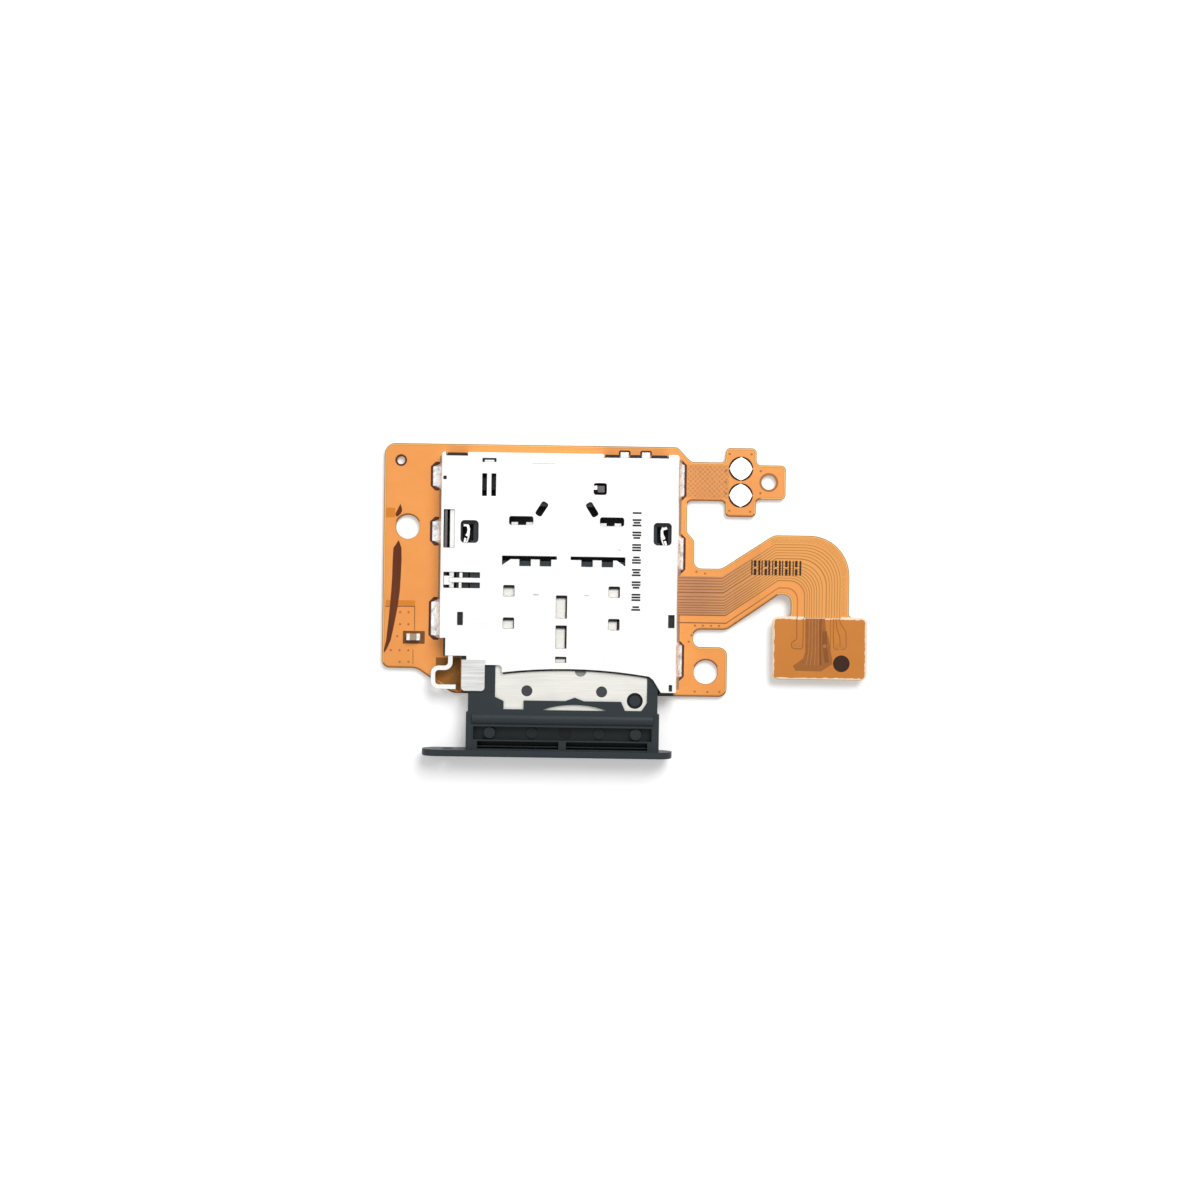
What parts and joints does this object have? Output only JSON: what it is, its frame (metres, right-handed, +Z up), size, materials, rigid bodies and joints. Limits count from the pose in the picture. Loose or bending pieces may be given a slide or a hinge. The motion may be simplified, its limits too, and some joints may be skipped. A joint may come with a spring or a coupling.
{
  "type": "sim card reader",
  "caption": "Flat card reader on an amber flex circuit: stamped shield shell, sliding card tray with a door, pin ejector and a ribbon with a board connector.",
  "frame": {"origin": "middle of the shield shell, on the underside of the stiffener", "axes": "+X along the flex towards the board connector, +Y to the rear of the reader so the tray leaves towards -Y, +Z up through the shell's roof"},
  "size_m": [0.0362, 0.0232, 0.0025],
  "materials": {
    "flex_film": "translucent amber film over copper",
    "stiffener_laminate": "satin amber laminate",
    "cover_film": "satin amber film",
    "connector_plastic": "moulded, dark",
    "gold_plate": "plated, bright",
    "tin": "bright tin",
    "insulator_plastic": "moulded, black",
    "spring_steel": "bright spring strip",
    "shell_steel": "bright rolled sheet",
    "capacitor_ceramic": "fired ceramic, brown",
    "ejector_steel": "bright stamped strip",
    "tray_plastic": "moulded, fine satin",
    "plate_steel": "fine brushed"
  },
  "bodies": {
    "reader": {"capacitor_body": "capacitor_ceramic", "capacitor_end_left": "tin", "capacitor_end_right": "tin", "connector_contacts_front": "gold_plate", "connector_contacts_rear": "gold_plate", "connector_housing": "connector_plastic", "connector_nail_left": "tin", "connector_nail_right": "tin", "detect_contact": "spring_steel", "detect_spring": "spring_steel", "flex_circuit": "flex_film", "insulator_base": "insulator_plastic", "lever_rivet": "ejector_steel", "reader_stiffener": "stiffener_laminate", "rear_contact_1": "gold_plate", "rear_contact_2": "gold_plate", "rear_contact_3": "gold_plate", "rear_contact_4": "gold_plate", "rear_contact_5": "gold_plate", "rear_contact_6": "gold_plate", "rear_contact_7": "gold_plate", "rear_contact_8": "gold_plate", "shield_shell": "shell_steel", "sim_contact_left_1": "gold_plate", "sim_contact_left_2": "gold_plate", "sim_contact_left_3": "gold_plate", "sim_contact_right_1": "gold_plate", "sim_contact_right_2": "gold_plate", "sim_contact_right_3": "gold_plate", "solder_left_front": "tin", "solder_left_middle": "tin", "solder_left_rear": "tin", "solder_right_front": "tin", "solder_right_middle": "tin", "solder_right_rear": "tin", "tab_film": "cover_film", "tray_latch_left": "spring_steel", "tray_latch_right": "spring_steel"},
    "tray": {"tray_frame": "tray_plastic", "tray_plate": "plate_steel"},
    "push_rod": {"push_rod": "ejector_steel"},
    "eject_lever": {"eject_lever": "ejector_steel"}
  },
  "joints": [
    {"name": "tray_slide", "type": "slide", "parent": "reader", "child": "tray", "axis": [0, -1, 0], "range_m": [0, 0.018]},
    {"name": "push_rod_slide", "type": "slide", "parent": "reader", "child": "push_rod", "axis": [0, 1, 0], "range_m": [0, 0.0015]},
    {"name": "eject_lever_pivot", "type": "hinge", "parent": "reader", "child": "eject_lever", "pos_m": [-0.0031, 0.0069, 0.00114], "axis": [0, 0, -1], "range_deg": [0, 17.8]}
  ],
  "couplings": [
    {"joint": "eject_lever_pivot", "follows": "push_rod_slide", "rad_per_m": 207.1}
  ]
}
